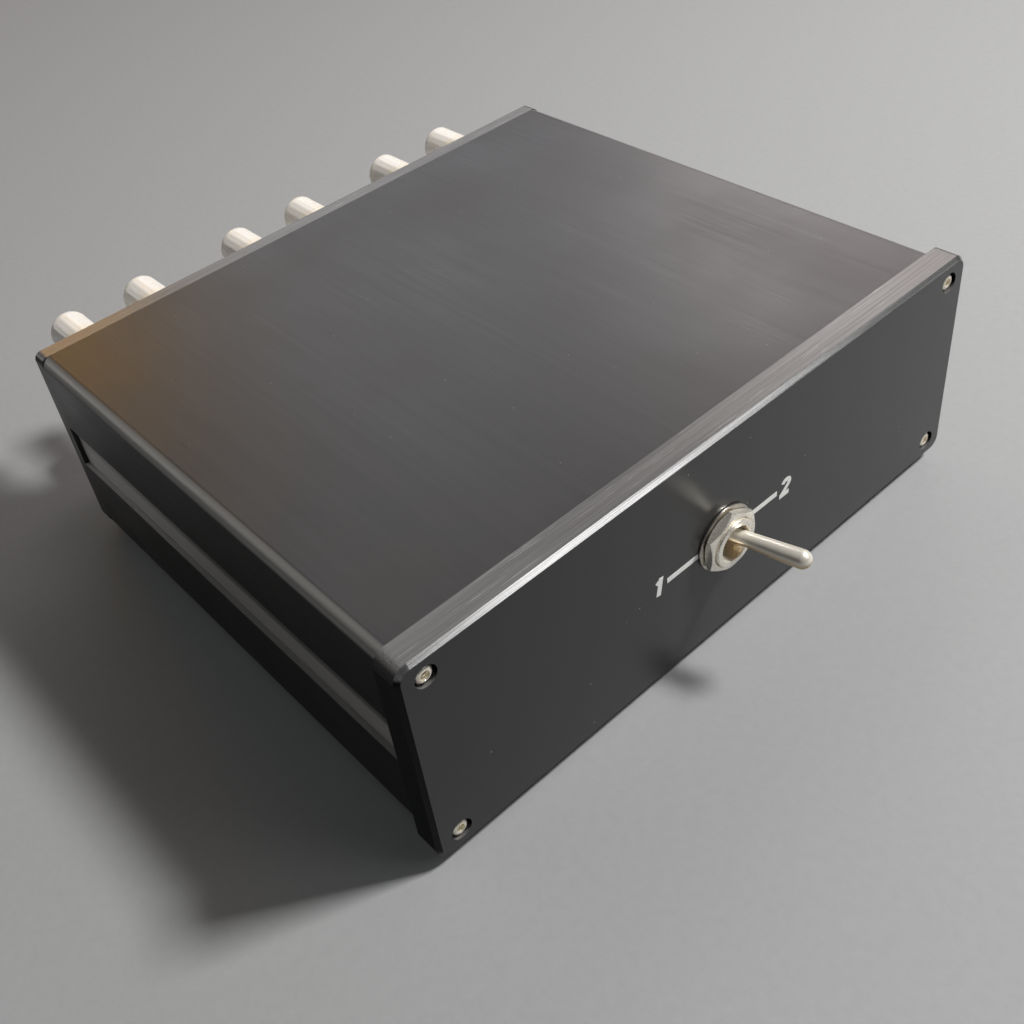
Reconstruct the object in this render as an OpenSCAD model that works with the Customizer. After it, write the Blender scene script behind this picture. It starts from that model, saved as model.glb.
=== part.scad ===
// Passive two-way selector box for loudspeaker leads.
// A split aluminium case holds one four-pole toggle switch and twelve binding posts.
// +X is to the right of the front panel, +Y runs to the rear, +Z is up.
// The origin is on the table, under the middle of the whole box, lever and posts included.

/* [Case body] */
// Outer width of the extruded body
body_w = 168; // [156:1:190]
// Outer height of the extruded body
body_h = 55; // [50:1:70]
// Length of the extruded body between the end panels
body_l = 138; // [110:0.5:180]
// Wall thickness of the extrusion
wall = 1.8; // [1.5:0.1:2.4]
// Radius of the long outer edges
body_r = 2.8; // [1.5:0.1:4]
// Height of the band that runs along each side
groove_h = 12.4; // [8:0.1:14]
// Height of the band's lower edge above the body's underside
groove_lift = 21.3; // [18:0.1:24]
// How far the band is set in
groove_depth = 1.2; // [0.6:0.1:1.6]
// Distance of the seam between the two shells below the band's upper edge
seam_drop = 4.2; // [2.5:0.1:5]
// Thickness of the tongue that laps the seam inside
tongue_t = 1.4; // [1:0.1:2]
// Length of the tongue below the seam
tongue_len = 4; // [2:0.5:8]

/* [End panels] */
// How far the front panel stands out past the body all round
panel_lip = 1.75; // [1:0.05:2.5]
// Thickness of the front panel
front_t = 6.9; // [6:0.1:8]
// Thickness of the rear panel
rear_t = 4; // [2:0.1:5]
// Corner radius of the front panel
panel_r = 3.5; // [2:0.1:5]
// Corner radius of the rear panel, whose edges are flush with the body
rear_r = 2; // [1:0.1:4]
// Width of the bright bevel round the front face
panel_bevel = 0.95; // [0.3:0.05:1.5]

/* [Case screws] */
// Diameter of the panel screws
screw_d = 2.5; // [2:0.1:3]
// Diameter of the screw heads
head_d = 4.5; // [4:0.1:5]
// Height of the screw heads
head_h = 2.5; // [2:0.1:3]
// Width across the flats of the hexagon socket
socket_af = 2; // [1.5:0.1:2.5]
// Depth of the hexagon socket
socket_depth = 1.2; // [0.8:0.1:1.6]
// Length of the shank of the front panel screws
front_screw_len = 12; // [10:0.5:16]
// Length of the shank of the rear panel screws
rear_screw_len = 10; // [8:0.5:14]
// Distance of the screws from the front panel's left and right edges
screw_inset_x = 6.3; // [5.5:0.1:8]
// Distance of the screws from the front panel's top and bottom edges
screw_inset_z = 5.3; // [4.8:0.1:7]
// How far the front screw heads lie below the panel's face
head_sink = 0.25; // [0:0.05:0.6]
// Wall of the screw channels in the shells
channel_wall = 1.6; // [1.2:0.1:2]

/* [Feet] */
// Diameter of the stick-on feet
foot_d = 14; // [10:1:18]
// Thickness of the feet
foot_t = 4; // [3:0.5:8]
// Distance of the feet's centres from the body's sides
foot_inset_x = 18; // [12:1:40]
// Distance of the feet's centres from the body's ends
foot_inset_y = 18; // [12:1:40]

/* [Toggle switch] */
// Thread diameter of the bushing
thread_d = 11.9; // [11:0.1:12.5]
// Width of the nut across its flats
nut_af = 14; // [13.5:0.1:17]
// Thickness of the nut
nut_t = 2.3; // [1.8:0.1:3]
// Outer diameter of the toothed lock washer
washer_d = 16.4; // [16:0.1:18]
// Thickness of the lock washer
washer_t = 0.7; // [0.5:0.1:1]
// How far the bushing stands out past the nut
bushing_proud = 0.6; // [0.3:0.1:2]
// Bevel on the bushing's front rim
rim_bevel = 0.5; // [0.2:0.1:0.7]
// Diameter of the lever where it leaves the bushing
lever_d = 3.4; // [3:0.1:3.8]
// Diameter of the lever at its rounded tip
lever_tip_d = 4.4; // [3.8:0.1:5.5]
// Length of the lever from the bushing's front to the centre of the rounded tip
lever_out = 13.6; // [9:0.1:20]
// Angle of the lever to each side of its middle
throw = 13.2; // [10:0.2:13.6]
// Diameter of the lever's ball
ball_d = 7; // [6.6:0.1:7.6]
// Diameter of the lever's pivot pin
pin_d = 1.6; // [1.2:0.1:2]
// Distance of the pivot in front of the panel's back face
pivot_lift = 0.3; // [0:0.1:0.8]
// Distance from the pivot to the tail ball that drives the carriage
tail_reach = 9.2; // [8.6:0.1:10]
// Diameter of the tail ball
tail_ball_d = 4; // [3.6:0.1:4.2]
// Diameter of the lever's tail
tail_d = 2.4; // [1.8:0.1:2.6]
// Width of the switch case along the throw
case_w = 30; // [26:0.5:34]
// Wall thickness of the switch case
case_wall = 2; // [1.5:0.1:2.5]
// Thickness of the switch case's front wall
case_front = 4; // [3.5:0.1:5]
// Number of poles
poles = 4; // [2:1:4]
// Distance between the poles
pole_pitch = 8.4; // [8:0.1:9]
// Thickness of the steel frame
frame_t = 1; // [0.8:0.1:1.2]
// Thickness of the frame's straps
strap_t = 0.8; // [0.6:0.1:1]
// Width of the frame's straps
strap_w = 12; // [8:1:16]
// Length of the hooks that hold the base
hook_len = 2.4; // [1.5:0.1:2.8]

/* [Switch contacts] */
// Width of the carriage along the throw
carriage_w = 10; // [9:0.5:12]
// Depth of the carriage
carriage_depth = 8; // [7.5:0.1:9]
// Diameter of the plungers
plunger_d = 3; // [2.6:0.1:3.2]
// Length of the plungers
plunger_len = 5; // [4:0.1:5.5]
// How far the plungers stand out of the carriage
plunger_out = 1.6; // [1.4:0.1:2.2]
// Wire diameter of the plunger springs
spring_wire_d = 0.4; // [0.3:0.05:0.5]
// Number of turns in a plunger spring
spring_turns = 4; // [3:1:5]
// Thickness of the contact rockers
rocker_t = 0.8; // [0.6:0.1:1]
// Half of the rockers' length
rocker_half = 8; // [7:0.1:8.5]
// Tilt of the rockers to each side
rocker_tilt = 8; // [6:0.5:9]
// Width of the rockers and of the terminals
blade_w = 4.4; // [3.6:0.1:5]
// Thickness of the terminals
blade_t = 0.8; // [0.6:0.1:1]
// Distance of the outer terminals from the middle ones
throw_x = 8.5; // [8:0.1:9.5]
// Thickness of the contact heads on the outer terminals
contact_t = 0.65; // [0.5:0.05:0.9]
// Length of the contact heads
contact_len = 3.4; // [3:0.1:4]
// Thickness of the insulating base
base_t = 3; // [2:0.1:4]
// Length of the terminals behind the base
terminal_len = 8; // [6:0.5:12]
// Diameter of the solder holes in the terminals
solder_hole_d = 1.6; // [1:0.1:2]

/* [Binding posts] */
// Distance between the two posts of a pair
pair_pitch = 22.5; // [19:0.5:24]
// Distance between the groups of posts
group_pitch = 55; // [48:0.5:57]
// Distance between the upper and the lower row
row_pitch = 28; // [26:0.5:30]
// Diameter of the banana plug bores
plug_d = 4; // [3.9:0.05:4.2]
// Depth of the full plug bore
plug_depth = 12; // [10:0.5:14]
// Diameter of the cross hole for bare wire
wire_hole_d = 2.4; // [2:0.1:3]
// Thread diameter of the shank through the rear panel
shank_d = 5; // [4:0.1:5.5]
// Length of the shank behind the rear panel's outer face
shank_len = 15; // [13:0.5:18]
// Diameter of the barrel that the cap screws onto
barrel_d = 6.4; // [6:0.1:6.8]
// Length of the barrel behind its flange
barrel_len = 16.2; // [15:0.1:18]
// Diameter of the barrel's flange
flange_d = 9; // [8:0.1:10]
// Thickness of the barrel's flange
flange_t = 1.3; // [1:0.1:2]
// Diameter of the insulating collars
collar_d = 11; // [10:0.1:13]
// Thickness of the outer collars
collar_t = 4.5; // [3:0.1:6]
// Thickness of the inner insulators' flange
insulator_t = 2; // [1.5:0.1:3]
// Diameter of the spigots in the rear panel's holes
spigot_d = 7.8; // [7:0.1:8.6]
// Width of the post nuts across their flats
post_nut_af = 8; // [7.5:0.1:9]
// Thickness of the post nuts
post_nut_t = 3; // [2.5:0.1:3.5]
// Thickness of the solder tags
tag_t = 0.6; // [0.5:0.1:0.8]
// Outer diameter of the solder tags' ring
tag_d = 9; // [8:0.1:10]
// Width of the solder tags' tail
tag_w = 4; // [3:0.1:5]
// Distance of the soldered joint from the post's axis
tag_reach = 8.5; // [8:0.1:10]

/* [Caps] */
// Outer diameter of the clear caps
cap_d = 11; // [10:0.1:12]
// Length of the clear caps
cap_len = 19; // [18:0.1:22]
// Thickness of the caps' end wall
cap_end_t = 1.8; // [1:0.1:2.5]
// Diameter of the hole in the caps' end
cap_mouth_d = 5; // [4.6:0.1:6]
// Bevel on the caps' edges
cap_bevel = 0.6; // [0.2:0.1:1]
// Diameter of the threaded inserts
insert_d = 8; // [7.4:0.1:8.6]
// Length of the threaded inserts
insert_len = 11; // [9:0.1:12]
// Diameter of the inserts' clamping flange
insert_flange_d = 10; // [9:0.1:11]
// Thickness of the inserts' clamping flange
insert_flange_t = 1.1; // [0.8:0.1:1.5]

/* [Wires] */
// Diameter of the insulated wires
wire_d = 2.2; // [1.4:0.1:2.6]
// How far the wires run straight out of the switch
wire_lead = 34; // [20:1:40]

/* [Clearances] */
// Radial gap of the pivot pin where it is pressed in
press_gap = 0.02; // [0:0.01:0.04]
// Radial gap of the lever on its pin and of the caps on their threads
running_gap = 0.05; // [0.02:0.01:0.08]
// Gap between pieces that slide past each other
slide_gap = 0.1; // [0.05:0.05:0.2]
// Gap between pieces that touch in use
touch_gap = 0.05; // [0.02:0.01:0.1]
// Radial gap of screws and bushings in their holes
hole_gap = 0.15; // [0.05:0.05:0.3]
// Radial gap round the sunk screw heads
head_gap = 0.35; // [0.2:0.05:0.5]

/* [Hidden] */
$fn = 64;
cut = 0.5; // how far cutting shapes reach past a face
post_count = 12;

// Case, measured from the front panel's face and from the table
panel_w = body_w + 2 * panel_lip;
panel_h = body_h + 2 * panel_lip;
mid_z = foot_t + body_h / 2;
body_back = front_t + body_l;
rear_face = body_back + rear_t;
band_lo = groove_lift - body_h / 2;
band_hi = band_lo + groove_h;
seam = band_hi - seam_drop;
band_in = body_w / 2 - groove_depth - wall;
screw_x = panel_w / 2 - screw_inset_x;
screw_z = panel_h / 2 - screw_inset_z;
screw_hole_r = screw_d / 2 + hole_gap;
channel_bore_r = screw_d / 2 + touch_gap;

// Switch, front to back
bushing_front = -(washer_t + nut_t + bushing_proud);
bushing_r = thread_d / 2;
pivot_y = front_t - pivot_lift;
lever_reach = pivot_y - bushing_front + lever_out;
mouth_r = (pivot_y - bushing_front) * tan(throw) + lever_d / 2 / cos(throw) + slide_gap;
ball_bore_r = ball_d / 2 + touch_gap;
case_y = front_t + frame_t;
cavity_y = case_y + case_front;
carriage_y = cavity_y + slide_gap;
carriage_back = carriage_y + carriage_depth;
carriage_travel = 2 * tail_reach * sin(throw);
tail_y = pivot_y + tail_reach;
plunger_end = carriage_back + plunger_out;
rocker_axis_y = plunger_end + slide_gap + rocker_t + touch_gap + blade_t / 2;
rocker_drop = rocker_half * sin(rocker_tilt) - (blade_t / 2 + touch_gap) * cos(rocker_tilt);
base_y = rocker_axis_y + rocker_drop + touch_gap + contact_t;
base_back = base_y + base_t;
terminal_end = base_back + terminal_len;
pole_span = (poles - 1) * pole_pitch;
cavity_h = pole_span + blade_w + 4;
case_h = cavity_h + 2 * case_wall;
pole_z = [for (k = [0:poles - 1]) mid_z + pole_span / 2 - k * pole_pitch];

// Posts, measured outwards from the rear panel's outer face
spigot_r = spigot_d / 2;
panel_hole_r = spigot_r + touch_gap;
shank_hole_r = shank_d / 2 + touch_gap;
flange_y = rear_face + collar_t;
barrel_y = flange_y + flange_t;
barrel_end = barrel_y + barrel_len;
wire_hole_y = barrel_end - plug_depth - wire_hole_d / 2 - 1;
nut_y = body_back - insulator_t;
tag_y = nut_y - post_nut_t;
tag_front = tag_y - tag_t;
insert_y = barrel_y + touch_gap;
shell_y = insert_y + insert_flange_t + touch_gap;
shell_end = shell_y + cap_len;

// The whole box is centred on the origin in X and Y
lever_front = pivot_y - lever_reach * cos(throw) - lever_tip_d / 2;
front_y = -(lever_front + shell_end) / 2;

black_metal = [0.09, 0.09, 0.1];
nickel = [0.78, 0.75, 0.7];
gold = [0.9, 0.72, 0.38];
phenolic = [0.42, 0.13, 0.08];

module placed() {
    translate([0, front_y, 0]) children();
}

// A 2D shape drawn in X and Z, made solid from y0 to y1
module along_y(y0, y1) {
    translate([0, y1, 0]) rotate([90, 0, 0]) linear_extrude(y1 - y0) children();
}

// A round bar from y0 to y1 at x, z
module rod(x, z, y0, y1, r) {
    translate([x, y0, z]) rotate([-90, 0, 0]) cylinder(h = y1 - y0, r = r);
}

// A cone from radius r0 at y0 to radius r1 at y1
module taper(x, z, y0, y1, r0, r1) {
    translate([x, y0, z]) rotate([-90, 0, 0]) cylinder(h = y1 - y0, r1 = r0, r2 = r1);
}

// A bar with a hexagon section, flats to the left and right
module hex_bar(x, z, y0, y1, across) {
    translate([x, y0, z]) rotate([-90, 0, 0]) rotate([0, 0, 30])
        cylinder(h = y1 - y0, d = across / cos(30), $fn = 6);
}

module block(x0, x1, y0, y1, z0, z1) {
    translate([x0, y0, z0]) cube([x1 - x0, y1 - y0, z1 - z0]);
}

module rounded_rect(w, h, r) {
    square([w - 2 * r, h], center = true);
    square([w, h - 2 * r], center = true);
    for (sx = [-1, 1], sy = [-1, 1])
        translate([sx * (w / 2 - r), sy * (h / 2 - r)]) circle(r);
}

// ---- Case ----

module body_outline() {
    difference() {
        rounded_rect(body_w, body_h, body_r);
        for (side = [-1, 1])
            translate([side * (body_w / 2 - groove_depth / 2 + cut / 2), (band_lo + band_hi) / 2])
                square([groove_depth + cut, groove_h], center = true);
    }
}

module body_cavity() {
    difference() {
        square([body_w - 2 * wall, body_h - 2 * wall], center = true);
        for (side = [-1, 1])
            translate([side * (band_in + (groove_depth + cut) / 2), (band_lo + band_hi) / 2])
                square([groove_depth + cut, groove_h + 2 * wall], center = true);
    }
}

module screw_channels(r) {
    for (sx = [-1, 1], sz = [-1, 1]) translate([sx * screw_x, sz * screw_z]) circle(r);
}

module shell_section() {
    difference() {
        union() {
            difference() {
                body_outline();
                body_cavity();
            }
            screw_channels(channel_bore_r + channel_wall);
        }
        screw_channels(channel_bore_r);
    }
}

// The part of the section above (side 1) or below (side -1) the seam
module half_section(side) {
    intersection() {
        shell_section();
        translate([-body_w, side > 0 ? seam : seam - 2 * body_h])
            square([2 * body_w, 2 * body_h]);
    }
}

module seam_tongues() {
    for (side = [-1, 1]) {
        inner = band_in - slide_gap;
        translate([side * (inner - tongue_t / 2), seam + (seam_drop - tongue_len) / 2])
            square([tongue_t, seam_drop + tongue_len], center = true);
        translate([side * (band_in - tongue_t / 2), seam + seam_drop / 2 + slide_gap])
            square([tongue_t + 2 * slide_gap, seam_drop - 2 * slide_gap], center = true);
    }
}

module top_shell() {
    color(black_metal) translate([0, 0, mid_z]) along_y(front_t, body_back) {
        half_section(1);
        seam_tongues();
    }
}

module bottom_shell() {
    color(black_metal) translate([0, 0, mid_z]) along_y(front_t, body_back) half_section(-1);
}

// A plate with rounded corners and a bevel round its front edge, at y 0
module beveled_plate(w, h, t, r, bevel) {
    rotate([90, 0, 90]) linear_extrude(w - 2 * r, center = true)
        polygon([[0, bevel - h / 2], [bevel, -h / 2], [t, -h / 2],
                 [t, h / 2], [bevel, h / 2], [0, h / 2 - bevel]]);
    linear_extrude(h - 2 * r, center = true)
        polygon([[bevel - w / 2, 0], [w / 2 - bevel, 0], [w / 2, bevel],
                 [w / 2, t], [-w / 2, t], [-w / 2, bevel]]);
    for (sx = [-1, 1], sz = [-1, 1]) {
        taper(sx * (w / 2 - r), sz * (h / 2 - r), 0, bevel, r - bevel, r);
        rod(sx * (w / 2 - r), sz * (h / 2 - r), bevel, t, r);
    }
}

module front_panel() {
    color(black_metal) translate([0, 0, mid_z]) difference() {
        beveled_plate(panel_w, panel_h, front_t, panel_r, panel_bevel);
        rod(0, 0, -cut, front_t + cut, bushing_r + hole_gap);
        for (sx = [-1, 1], sz = [-1, 1]) {
            rod(sx * screw_x, sz * screw_z, -cut, front_t + cut, screw_hole_r);
            rod(sx * screw_x, sz * screw_z, -cut, head_sink + head_h, head_d / 2 + head_gap);
        }
    }
}

module rear_panel() {
    color(black_metal) difference() {
        translate([0, 0, mid_z]) along_y(body_back, rear_face)
            rounded_rect(body_w, body_h, rear_r);
        for (sx = [-1, 1], sz = [-1, 1])
            rod(sx * screw_x, mid_z + sz * screw_z, body_back - cut, rear_face + cut, screw_hole_r);
        for (i = [1:post_count])
            rod(post_x(i), post_z(i), body_back - cut, rear_face + cut, panel_hole_r);
    }
}

// A cap head screw whose head faces -Y, with its head's top at y 0
module cap_screw(len) {
    difference() {
        rod(0, 0, 0, head_h, head_d / 2);
        hex_bar(0, 0, -cut, socket_depth, socket_af);
    }
    rod(0, 0, head_h, head_h + len, screw_d / 2);
}

module front_panel_screws() {
    color(nickel) for (sx = [-1, 1], sz = [-1, 1])
        translate([sx * screw_x, head_sink, mid_z + sz * screw_z])
            cap_screw(front_screw_len);
}

module rear_panel_screws() {
    color(nickel) for (sx = [-1, 1], sz = [-1, 1])
        translate([sx * screw_x, rear_face + head_h, mid_z + sz * screw_z])
            rotate([0, 0, 180]) cap_screw(rear_screw_len);
}

module rubber_feet() {
    color([0.06, 0.06, 0.06]) for (sx = [-1, 1], y = [front_t + foot_inset_y, body_back - foot_inset_y])
        translate([sx * (body_w / 2 - foot_inset_x), y, 0]) cylinder(h = foot_t, d = foot_d);
}

// ---- Toggle switch ----

module toggle_bushing() {
    ball_y = pivot_y - ball_d / 2;
    color(nickel) difference() {
        union() {
            taper(0, mid_z, bushing_front, bushing_front + rim_bevel, bushing_r - rim_bevel, bushing_r);
            rod(0, mid_z, bushing_front + rim_bevel, case_y, bushing_r);
        }
        taper(0, mid_z, bushing_front - cut, ball_y, mouth_r + cut * tan(throw), ball_bore_r);
        rod(0, mid_z, ball_y - touch_gap, case_y + cut, ball_bore_r);
        translate([0, pivot_y, mid_z])
            cylinder(h = 2 * thread_d, r = pin_d / 2 + press_gap, center = true);
    }
}

module pivot_pin() {
    color(nickel) translate([0, pivot_y, mid_z])
        cylinder(h = thread_d - 2 * slide_gap, d = pin_d, center = true);
}

module toggle_nut() {
    bevel_d = nut_af / cos(30);
    color(nickel) difference() {
        intersection() {
            hex_bar(0, mid_z, -washer_t - nut_t, -washer_t, nut_af);
            union() {
                taper(0, mid_z, -washer_t - nut_t, -washer_t - nut_t / 2, nut_af / 2, bevel_d / 2 + 0.6);
                rod(0, mid_z, -washer_t - nut_t / 2, -washer_t, bevel_d / 2 + 0.6);
            }
        }
        rod(0, mid_z, -washer_t - nut_t - cut, cut, bushing_r + touch_gap);
    }
}

module lock_washer() {
    teeth = 10;
    color(nickel) difference() {
        rod(0, mid_z, -washer_t, 0, washer_d / 2);
        rod(0, mid_z, -washer_t - cut, cut, bushing_r + touch_gap);
        for (k = [0:teeth - 1]) translate([0, 0, mid_z]) rotate([0, (k + 0.5) * 360 / teeth, 0])
            block(bushing_r - cut, washer_d / 2 - 1.3, -washer_t - cut, cut, -1.1, 1.1);
    }
}

// The lever stands to the right, against its stop
module toggle_lever() {
    straight = pivot_y - bushing_front;
    color(nickel) translate([0, pivot_y, mid_z]) rotate([0, 0, throw]) difference() {
        union() {
            sphere(d = ball_d);
            rod(0, 0, -straight, 0, lever_d / 2);
            taper(0, 0, -lever_reach, -straight, lever_tip_d / 2, lever_d / 2);
            translate([0, -lever_reach, 0]) sphere(d = lever_tip_d);
            rod(0, 0, 0, tail_reach, tail_d / 2);
            translate([0, tail_reach, 0]) sphere(d = tail_ball_d);
        }
        cylinder(h = 2 * ball_d, r = pin_d / 2 + running_gap, center = true);
    }
}

module switch_frame() {
    strap_z = case_h / 2 + touch_gap;
    color(nickel) difference() {
        translate([0, 0, mid_z]) union() {
            block(-case_w / 2, case_w / 2, front_t, case_y, -strap_z - strap_t, strap_z + strap_t);
            for (side = [0, 1]) mirror([0, 0, side]) {
                block(-strap_w / 2, strap_w / 2, front_t, base_back + touch_gap + strap_t,
                      strap_z, strap_z + strap_t);
                block(-strap_w / 2, strap_w / 2, base_back + touch_gap,
                      base_back + touch_gap + strap_t, strap_z - hook_len, strap_z + strap_t);
            }
        }
        rod(0, mid_z, front_t - cut, case_y + cut, bushing_r + touch_gap);
    }
}

module switch_case() {
    swing = (cavity_y - pivot_y) * tan(throw) + tail_d / 2 / cos(throw);
    color(phenolic) translate([0, 0, mid_z]) difference() {
        block(-case_w / 2, case_w / 2, case_y, base_y, -case_h / 2, case_h / 2);
        block(case_wall - case_w / 2, case_w / 2 - case_wall, cavity_y, base_y + cut,
              -cavity_h / 2, cavity_h / 2);
        rod(0, 0, case_y - cut, cavity_y + cut, max(ball_d / 2, swing) + 5 * slide_gap);
    }
}

module switch_base() {
    color(phenolic) difference() {
        block(-case_w / 2, case_w / 2, base_y, base_back, mid_z - case_h / 2, mid_z + case_h / 2);
        for (z = pole_z, x = [-throw_x, 0, throw_x])
            block(x - blade_t / 2 - touch_gap, x + blade_t / 2 + touch_gap, base_y - cut,
                  base_back + cut, z - blade_w / 2 - touch_gap, z + blade_w / 2 + touch_gap);
    }
}

// Drawn at the carriage's place for the lever at rest, which is left of the middle
module at_carriage() {
    translate([-carriage_travel / 2, 0, 0]) children();
}

module contact_carriage() {
    socket_r = tail_ball_d / 2 + touch_gap;
    half_h = cavity_h / 2 - slide_gap;
    pocket_back = tail_y + tail_ball_d / 2 + slide_gap;
    lean = carriage_travel / 2 - (carriage_y - pivot_y) * tan(throw);
    mouth = max(socket_r, lean + tail_d / 2 / cos(throw) + slide_gap);
    color([0.85, 0.83, 0.78]) at_carriage() difference() {
        block(-carriage_w / 2, carriage_w / 2, carriage_y, carriage_back, mid_z - half_h, mid_z + half_h);
        block(-socket_r, socket_r, carriage_y - cut, pocket_back, mid_z - socket_r, mid_z + socket_r);
        block(-mouth, mouth, carriage_y - cut, tail_y - tail_ball_d / 4, mid_z - socket_r, mid_z + socket_r);
        for (z = pole_z)
            rod(0, z, carriage_back - plunger_bore_depth(), carriage_back + cut,
                plunger_d / 2 + touch_gap);
    }
}

function plunger_bore_depth() = carriage_depth - 1.4;

module plungers() {
    tip = plunger_d / 2;
    color(gold) at_carriage() for (z = pole_z) intersection() {
        union() {
            rod(0, z, plunger_end - plunger_len, plunger_end - tip, plunger_d / 2);
            translate([0, plunger_end - tip, z]) sphere(tip);
        }
        rod(0, z, plunger_end - plunger_len, plunger_end, plunger_d / 2);
    }
}

module plunger_springs() {
    y0 = carriage_back - plunger_bore_depth() + spring_wire_d / 2 + touch_gap;
    y1 = plunger_end - plunger_len - spring_wire_d / 2 - touch_gap;
    coil_r = (plunger_d - spring_wire_d) / 2 - touch_gap;
    steps = 12;
    color("silver") at_carriage() for (z = pole_z)
        sweep([for (k = [0:spring_turns * steps])
            let (a = k * 360 / steps, y = y0 + (y1 - y0) * k / (spring_turns * steps))
            [coil_r * cos(a), y, z + coil_r * sin(a)]], spring_wire_d / 2, 6);
}

// The rockers lie tilted, with their left ends on the left contacts
module contact_rockers() {
    under = blade_t / 2 + touch_gap;
    color("goldenrod") for (z = pole_z)
        translate([0, rocker_axis_y, z]) rotate([0, 0, -rocker_tilt])
            block(-rocker_half, rocker_half, -under - rocker_t, -under, -blade_w / 2, blade_w / 2);
}

module blade(x, z, y0) {
    difference() {
        block(x - blade_t / 2, x + blade_t / 2, y0, terminal_end, z - blade_w / 2, z + blade_w / 2);
        translate([x, terminal_end - solder_hole_d - 1, z]) rotate([0, 90, 0])
            cylinder(h = 2 * blade_t, d = solder_hole_d, center = true);
    }
}

module common_terminals() {
    color("silver") for (z = pole_z) {
        blade(0, z, rocker_axis_y);
        translate([0, rocker_axis_y, z]) cylinder(h = blade_w, d = blade_t, center = true);
    }
}

module throw_terminals() {
    color("silver") for (z = pole_z, side = [0, 1]) mirror([side, 0, 0]) {
        blade(throw_x, z, base_y - contact_t);
        block(throw_x + blade_t / 2 - contact_len, throw_x + blade_t / 2, base_y - contact_t,
              base_y, z - blade_w / 2, z + blade_w / 2);
    }
}

// ---- Binding posts ----

// Posts 1 to 6 are the upper row from left to right, 7 to 12 the lower row
function post_column(i) = (i - 1) % 6;
function post_group(i) = floor(post_column(i) / 2) - 1;
function post_side(i) = post_column(i) % 2 == 0 ? -1 : 1;
function post_row(i) = i <= 6 ? 1 : -1;
function post_x(i) = post_group(i) * group_pitch + post_side(i) * pair_pitch / 2;
function post_z(i) = mid_z + post_row(i) * row_pitch / 2;

module post_studs() {
    color(gold) for (i = [1:post_count]) translate([post_x(i), 0, post_z(i)]) difference() {
        union() {
            rod(0, 0, rear_face - shank_len, flange_y, shank_d / 2);
            rod(0, 0, flange_y, barrel_y, flange_d / 2);
            rod(0, 0, barrel_y, barrel_end, barrel_d / 2);
        }
        rod(0, 0, barrel_end - plug_depth, barrel_end + cut, plug_d / 2);
        translate([0, wire_hole_y, 0]) cylinder(h = 2 * barrel_d, d = wire_hole_d, center = true);
    }
}

module collars(row) {
    for (i = [1:post_count]) if (post_row(i) == row)
        translate([post_x(i), 0, post_z(i)]) difference() {
            union() {
                rod(0, 0, rear_face, flange_y, collar_d / 2);
                rod(0, 0, rear_face - rear_t / 2 + touch_gap, rear_face, spigot_r);
            }
            rod(0, 0, body_back - cut, flange_y + cut, shank_hole_r);
        }
}

module red_collars() {
    color([0.7, 0.05, 0.05]) collars(1);
}

module black_collars() {
    color([0.05, 0.05, 0.05]) collars(-1);
}

module inner_insulators() {
    color([0.05, 0.05, 0.05]) for (i = [1:post_count])
        translate([post_x(i), 0, post_z(i)]) difference() {
            union() {
                rod(0, 0, nut_y, body_back, collar_d / 2);
                rod(0, 0, body_back, body_back + rear_t / 2 - touch_gap, spigot_r);
            }
            rod(0, 0, nut_y - cut, rear_face + cut, shank_hole_r);
        }
}

module post_nut(y0) {
    difference() {
        hex_bar(0, 0, y0, y0 + post_nut_t, post_nut_af);
        rod(0, 0, y0 - cut, y0 + post_nut_t + cut, shank_hole_r);
    }
}

// One nut clamps each post and a second one clamps its solder tag
module post_nuts() {
    color(gold) for (i = [1:post_count]) translate([post_x(i), 0, post_z(i)]) {
        post_nut(tag_y);
        post_nut(tag_front - post_nut_t);
    }
}

module solder_tags() {
    color("silver") for (i = [1:post_count])
        translate([post_x(i), 0, post_z(i)]) rotate([0, post_row(i) > 0 ? 180 : 0, 0]) difference() {
            union() {
                rod(0, 0, tag_front, tag_y, tag_d / 2);
                block(-tag_w / 2, tag_w / 2, tag_front, tag_y, 0, tag_reach + tag_w / 2);
            }
            rod(0, 0, tag_front - cut, tag_y + cut, shank_hole_r);
        }
}

// ---- Caps ----

module cap_shell(i) {
    wall_y = shell_end - cap_end_t;
    color([0.9, 0.9, 0.88, 0.5]) translate([post_x(i), 0, post_z(i)]) difference() {
        union() {
            taper(0, 0, shell_y, shell_y + cap_bevel, cap_d / 2 - cap_bevel, cap_d / 2);
            rod(0, 0, shell_y + cap_bevel, shell_end - cap_bevel, cap_d / 2);
            taper(0, 0, shell_end - cap_bevel, shell_end, cap_d / 2, cap_d / 2 - cap_bevel);
        }
        rod(0, 0, shell_y - cut, wall_y, insert_d / 2 + running_gap);
        rod(0, 0, wall_y - cut, shell_end + cut, cap_mouth_d / 2);
    }
}

module cap_insert(i) {
    color(gold) translate([post_x(i), 0, post_z(i)]) difference() {
        union() {
            rod(0, 0, insert_y, insert_y + insert_flange_t, insert_flange_d / 2);
            rod(0, 0, insert_y, insert_y + insert_len, insert_d / 2);
        }
        rod(0, 0, insert_y - cut, insert_y + insert_len + cut, barrel_d / 2 + running_gap);
    }
}

// ---- Wires ----

function unit(v) = v / norm(v);
function bezier(p, t) = pow(1 - t, 3) * p[0] + 3 * pow(1 - t, 2) * t * p[1]
    + 3 * (1 - t) * t * t * p[2] + pow(t, 3) * p[3];

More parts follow.
